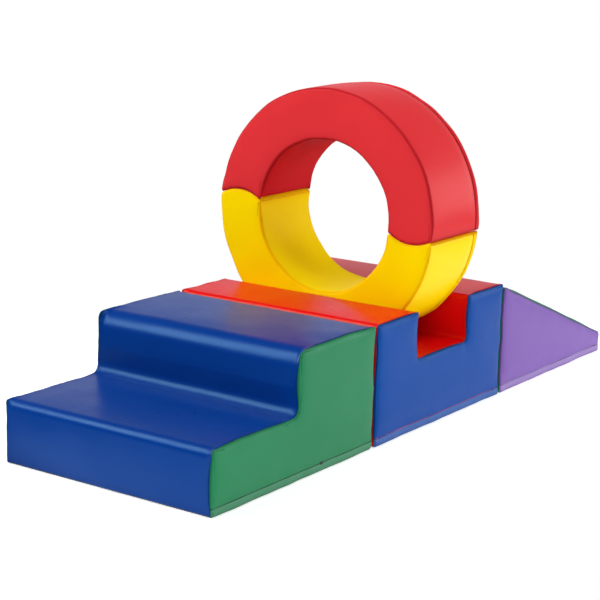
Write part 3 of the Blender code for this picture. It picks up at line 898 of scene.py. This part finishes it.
def zip_finish(name, tape_code, tooth_code):
    """A nylon zip: woven tape in fine cords and smooth, slightly glossy coils."""
    finish = Finish(name)
    tooth, threads = finish.seam_shade_and_tooth_mark(), finish.noise(1500)
    base = finish.mix(threads, shade(linear(tape_code), 0.75), shade(linear(tape_code), 1.15))
    base = finish.mix(tooth, base, linear(tooth_code))
    return finish.surface(Base_Color=base, Roughness=0.78 - tooth * 0.38,
                          Normal=finish.bump(threads, 0.0002, 0.5))


def enamel(name, code):
    """Enamelled zinc, with bright rubbed places."""
    finish = Finish(name)
    rubbed = finish.noise(900, 4, 0.7)
    marks = ((rubbed - 0.62) * 6).clamped()
    base = finish.mix(marks, linear(code), linear("#77777a"))
    return finish.surface(Base_Color=base, Roughness=0.32 + rubbed * 0.2, Metallic=marks * 0.8,
                          Normal=finish.bump(rubbed, 0.0001, 0.3))


def pile(name, code, scale, height):
    """Hook-and-loop tape: a nap of fine fibres over a woven ground."""
    finish = Finish(name)
    nap, tufts = finish.noise(scale, 5, 0.75), finish.cells(scale * 0.8)
    base = finish.mix(nap, shade(linear(code), 0.5), shade(linear(code), 1.5))
    return finish.surface(Base_Color=base, Roughness=0.86 + nap * 0.1,
                          Normal=finish.bump(nap + tufts, height, 0.9))


ROYAL_BLUE = vinyl("royal_blue_vinyl", "#003383", "#001c4c", 0.29, (0.2, 0.66, 1), 0.30)
GREEN = vinyl("green_vinyl", "#207c4d", "#1a6a40", 0.22, (0.3, 1, 0.85))
RED = vinyl("red_vinyl", "#dc3337", "#a81420", 0.09, (1, 0.4, 0.4), 0.36)
DEEP_RED = vinyl("deep_red_vinyl", "#da040c", "#860408", 0.26, (1, 0.7, 0.4), 0.30)
# The arch's bore: its red painted darker, as painted shade inside the ring
BORE_RED_PAINTED_DARKER = vinyl("red_bore_vinyl_painted_darker", "#c81220", "#900c18", 0.05, (1, 0.4, 0.4), 0.42)
BLUE = vinyl("blue_vinyl", "#004098", "#02255a", 0.17, (0.05, 0.8, 1))
PURPLE = vinyl("purple_vinyl", "#7c58aa", "#4a3468", 0.18)
YELLOW = vinyl("yellow_vinyl", "#ffda00", "#f0b400", 0.08, (1, 0.8, 0.2), 0.34)
# The cradle's bore: its yellow painted lighter, as painted light inside the ring
BORE_YELLOW_PAINTED_LIGHTER = vinyl("yellow_bore_vinyl_painted_lighter", "#ffe200", "#f0b400", 0.03, (1, 0.8, 0.1), 0.45)
# The zip flaps' vinyls, painted lighter and greyer than their sides as painted light where the flaps tilt up
# towards the lamps
PAINTED_LIGHTER_FLAPS = {"steps": vinyl("green_flap_vinyl_painted_lighter", "#3f8863", "#1c5a3c", 0.22),
         "bridge": vinyl("blue_flap_vinyl_painted_lighter", "#2f5da6", "#1c3c78", 0.22),
         "ramp": vinyl("purple_flap_vinyl_painted_lighter", "#957ab8", "#64508c", 0.22)}
FOAM, GRIP = foam_finish(), grip_finish()
HOOKS = pile("hook_tape", "#141416", 1400, 0.0006)
LOOPS = pile("loop_tape", "#1b1c1f", 700, 0.0010)
ZIPS = {}
for body, slider_code, tape_code, tooth_code in (
        ("steps", "#1c2a2c", "#1f6450", "#2a6e58"), ("bridge", "#1c3f86", "#c04c84", "#cc5c90"),
        ("ramp", "#5a4584", "#9490b4", "#a49cc4"), ("arch", "#a01c20", "#5c0a0e", "#7a1216"),
        ("cradle", "#c89a08", "#b98f0a", "#d8a912")):
    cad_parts[body + "_zip_slider"].data.materials[0] = enamel(body + "_enamel", slider_code)
    ZIPS[body] = zip_finish(body + "_zip", tape_code, tooth_code)


# Zips and fastening strips

def zip_chain(form, path, outward, aside):
    """A zip: its tape, swept along the path, and its two rows of coil teeth, which mesh along the middle.

    Point = path + aside x its way across + outward x its height, and for a tooth + forward x its way along.
    A tooth is a block that narrows towards its top.
    """
    lateral = np.array([-0.0050, -0.0049, 0.0049, 0.0050, 0.0049, -0.0049])[:, None]
    height = np.array([-0.00265, -0.0024, -0.0024, -0.00265, -0.0029, -0.0029])[:, None]
    tape = path[:, None] + aside[:, None] * lateral + outward[:, None] * height
    tape_out = tape - (path - 0.00265 * outward)[:, None]
    length = np.r_[0, np.cumsum(norm(np.diff(path, axis=0), axis=1))]
    teeth = np.arange(TOOTH_PITCH, length[-1] - TOOTH_PITCH, TOOTH_PITCH)
    side = np.where(np.arange(len(teeth)) % 2, 1.0, -1.0)[:, None, None]

    def carried(values):
        return np.stack([np.interp(teeth, length, part) for part in values.T], -1)[:, None]

    up, across, along = (unit(carried(way)) for way in (outward, aside, unit(np.gradient(path, axis=0))))
    block = [(way * (0.00036 - ease), y, z) for z, ease in ((-0.0025, 0), (-0.0016, 0), (-0.00115, 0.00022))
             for way, y in zip((-1, 1, 1, -1), 2 * [-0.0004 + ease] + 2 * [0.0016 - ease])]
    x, y, z = np.array(block).T[:, :, None]
    tooth = carried(path) + along * x + across * y * side + up * z
    faces = np.r_[quads(3, 4, closed=True), [(8, 9, 10, 11)]]
    blocks = faces + 12 * np.arange(len(teeth))[:, None, None]
    blocks[1::2] = blocks[1::2, :, ::-1]
    points, ways, groups = joined([
        (tape, tape_out, quads(len(path), 6, closed=True)),
        (tooth, tooth - tooth.mean(1, keepdims=True), blocks.reshape(-1, 4))])
    make(form.body + "_zip_chain", points, groups, ways, ZIPS[form.body], form.body, [form.body + "_zip"],
         np.arange(len(points)) >= len(path) * 6)


def module_zip(form, start, end):
    """A module's zip, straight along the foot of its near side."""
    along = np.arange(start + 0.010, end - 0.010, 0.012)
    path = np.stack([along, 0 * along + form.face_drop - HALF_WIDTH, 0 * along + ZIP_HEIGHT], -1)
    zip_chain(form, path, 0 * path + [0, -1, 0], 0 * path + [0, 0, 1])


def ring_zip(form):
    """A ring half's zip, round its rim."""
    turns = np.linspace(0.05, pi - 0.05, 90)
    plane = RING_RADIUS * np.stack([np.cos(turns), np.sin(turns)], -1)
    path, inner = (form.to_world(plane * share, RING_ZIP_PLACE) for share in (1, 0.9))
    zip_chain(form, path, unit(path - inner), 0 * path + [1, 0, 0])


def strip(node, side, finish):
    """A fastening strip: a thin slab with rounded corners, sewn down along its edges.

    Point = middle + (corner's middle + corner x circle, drawn in as it rises), at back + side x rise x thick.
    """
    low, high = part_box(node)
    middle, corner = (low + high) / 2, 0.006
    half_long, half_high = (high.y - low.y) / 2, (high.z - low.z) / 2
    turns = np.linspace(0, 2 * pi, 40, endpoint=False)
    circle = np.stack([np.cos(turns), np.sin(turns)], -1)
    rim = np.sign(circle) * [half_long - corner, half_high - corner] + corner * circle
    back = high.x if side < 0 else low.x
    rings = []
    for shrink, rise in ((1.0, 0.0), (1.0, 0.45), (0.996, 0.75), (0.985, 0.95), (0.96, 1.0)):
        scaled = np.array(middle.yz) + (rim - np.sign(rim) * (1 - shrink) * half_high)
        rings.append(np.insert(scaled, 0, back + side * (high.x - low.x) * rise, 1))
    rings = np.array(rings)
    parts = [(rings, rings - np.array(middle), quads(5, 40, closed=True))]
    for row, pitch, way in ((-1, 0.010, side), (0, 0.030, -side)):
        places, faces = filled(rings[row, :, 1:], pitch)
        cap = np.insert(places, 0, rings[row, 0, 0], 1)
        parts.append((cap, 0 * cap + [way, 0, 0], faces))
    points, ways, groups = joined(parts)
    make(node.replace("_strip", "_tape"), points, groups, ways, finish, node.split("_")[0], [node],
         weld=True)


# Sewing it all together

def dress_module(form, wrap_finish, side_finish, start, end):
    """A module's foam, covers and zip."""
    first, last = form.seam.arcs[0], form.seam.arcs[-1]
    foam_block(form)
    sheet(form, "wrap_panel", first, last, full_rows(form), wrap_finish)
    sheet(form, "base_panel", last, first + len(form.seam.points), full_rows(form), GRIP)
    side_panel(form, "near_side_panel", False, side_finish, 1)
    side_panel(form, "zip_flap", False, PAINTED_LIGHTER_FLAPS[form.body], -1)
    side_panel(form, "far_side_panel", True, side_finish)
    module_zip(form, start, end)


def dress_ring_half(form, finish, painted_bore_finish, ends):
    """A ring half's foam, covers and zip. The ends name its joints at -p and at +p."""
    foam_block(form)
    full = full_rows(form)
    panels = [("rim_panel", 0, rim_rows(form)), ("rim_flap", 0, flap_rows(form)), (ends[0], 1, full),
              ("bore_panel", 2, full), (ends[1], 3, full)]
    arcs = [*form.seam.arcs, form.seam.arcs[0] + len(form.seam.points)]
    for panel, side, rows in panels:
        # The bore panel takes the bore's own vinyl, the arch's painted darker as shade and the cradle's
        # painted lighter as light
        sheet(form, panel, arcs[side], arcs[side + 1], rows, painted_bore_finish if side == 2 else finish)
    side_panel(form, "front_panel", False, finish)
    side_panel(form, "rear_panel", True, finish)
    ring_zip(form)


dress_module(steps, ROYAL_BLUE, GREEN, STEPS_START, STEPS_END)
dress_module(bridge, DEEP_RED, BLUE, BRIDGE_START, BRIDGE_END)
dress_module(ramp, GREEN, PURPLE, RAMP_START, RAMP_END)
dress_ring_half(arch, RED, BORE_RED_PAINTED_DARKER, ("near_end_panel", "far_end_panel"))
dress_ring_half(cradle, YELLOW, BORE_YELLOW_PAINTED_LIGHTER, ("far_end_panel", "near_end_panel"))
strip("steps_hook_strip", 1, HOOKS)
strip("bridge_front_loop_strip", -1, LOOPS)
strip("bridge_rear_loop_strip", 1, LOOPS)
strip("ramp_hook_strip", -1, HOOKS)


# Camera, floor and lights

scene = bpy.context.scene

# It stands at a place, turned by its azimuth, tilted down by its elevation and rolled
optics = bpy.data.cameras.new("Camera")
optics.lens, optics.sensor_width, optics.clip_end = 103.92, 36, 60
view = bpy.data.objects.new("Camera", optics)
view.matrix_world = Matrix.Translation((-3.7808, -2.4745, 1.2985))
for angle, axis in ((-55.333, "Z"), (90 - 12.799, "X"), (1.5015, "Z")):
    view.matrix_world @= Matrix.Rotation(radians(angle), 4, axis)
scene.collection.objects.link(view)
scene.camera = view

floor_mesh = bpy.data.meshes.new("floor")
floor_mesh.from_pydata([(x, y, -0.0006) for x, y in ((-5, -5), (1.7, -5), (1.7, 1.3), (-5, 1.3))], [],
                       [(0, 1, 2, 3)])
floor = bpy.data.objects.new("floor", floor_mesh)
scene.collection.objects.link(floor)

# To the camera the floor is pale and fades to white far off. To everything else it's dark behind the modules.
# In front of and beside them it glows grey for every ray: painted light from a floor that is no lamp, which
# lights the modules from below
paper = Finish("studio_floor")
seen = paper.node("ShaderNodeLightPath")
flat = paper.node("ShaderNodeVectorMath", {"operation": "MULTIPLY"}, paper.place(), (0.78, 1, 0))
away = paper.node("ShaderNodeVectorMath", {"operation": "LENGTH"}, flat, out=1)
beside = ((paper.part(paper.place(), 0) + 1.15) / 0.20).clamped()
behind = ((paper.part(paper.place(), 1) - 0.10) / 0.30 - 1 + beside).clamped() * (1 - seen)
white = paper.mix(paper.noise(2.5), (0.84, 0.84, 0.84, 1), (0.87, 0.87, 0.87, 1))
paper.surface(Base_Color=paper.mix(behind, white, (0.25, 0.25, 0.25, 1)), Roughness=0.9,
              Specular_IOR_Level=0.1, Emission_Strength=1.0,
              Emission_Color=paper.mix(behind, (0.50, 0.50, 0.50, 1), (0, 0, 0, 1)))
glow = paper.node("ShaderNodeEmission", None, Color=(1, 1, 1, 1), Strength=1.0)
far_off = ((away - 0.85) / 0.40).clamped() * seen
blended = paper.node("ShaderNodeMixShader", None, far_off, Value(paper, paper.shader.outputs[0]), glow)
paper.feed(paper.tree.nodes["Material Output"], {"Surface": blended})
floor_mesh.materials.append(paper.owner)

# The world is white to the camera, and to everything else dark with a pale band low on the far right
scene.world = bpy.data.worlds.new("studio")
room = Finish("studio", scene.world)
way = room.node("ShaderNodeTexCoord")
east, north, up = (room.part(way, axis) for axis in (0, 1, 2))
facing = ((east * 0.82 + north * 0.57 - 0.30) / 0.30).clamped()
band = (up / 0.05).clamped() * ((0.48 - up) / 0.16).clamped() * facing
walls = room.mix(band, (0.075, 0.08, 0.09, 1), (0.62, 0.63, 0.68, 1))
whole = room.mix(room.node("ShaderNodeLightPath"), walls, (1, 1, 1, 1))
room.feed(room.tree.nodes["Background"], {"Color": whole})

# Rectangular lamps: where each is, what it faces, its size and its power
for name, place, target, size, power in (
        ("key", (-2.3, 2.0, 3.1), (-0.3, 0, 0.3), (1.6, 3.1), 136),
        ("top", (0.2, -1.2, 4.0), (0, 0, 0.3), (2.4, 2.4), 66),
        ("right", (2.0, -3.2, 1.0), (0, 0, 0.35), (2.6, 1.6), 46),
        ("front", (-3.9, -2.2, 1.6), (0, 0.1, 0.45), (2.0, 1.6), 36),
        ("rear", (-0.6, 3.8, 1.2), (0, 0, 0.3), (2.4, 1.4), 30),
        ("end", (3.4, -2.0, 0.9), (0.2, 0, 0.4), (2.4, 1.4), 30)):
    data = bpy.data.lights.new(name + " softbox", "AREA")
    data.shape = "RECTANGLE"
    data.size, data.size_y = size
    data.energy = power
    lamp = bpy.data.objects.new(name + " softbox", data)
    lamp.rotation_mode = "QUATERNION"
    lamp.location = place
    lamp.rotation_quaternion = (Vector(target) - Vector(place)).to_track_quat("-Z", "Y")
    scene.collection.objects.link(lamp)

scene.view_settings.view_transform = "Standard"
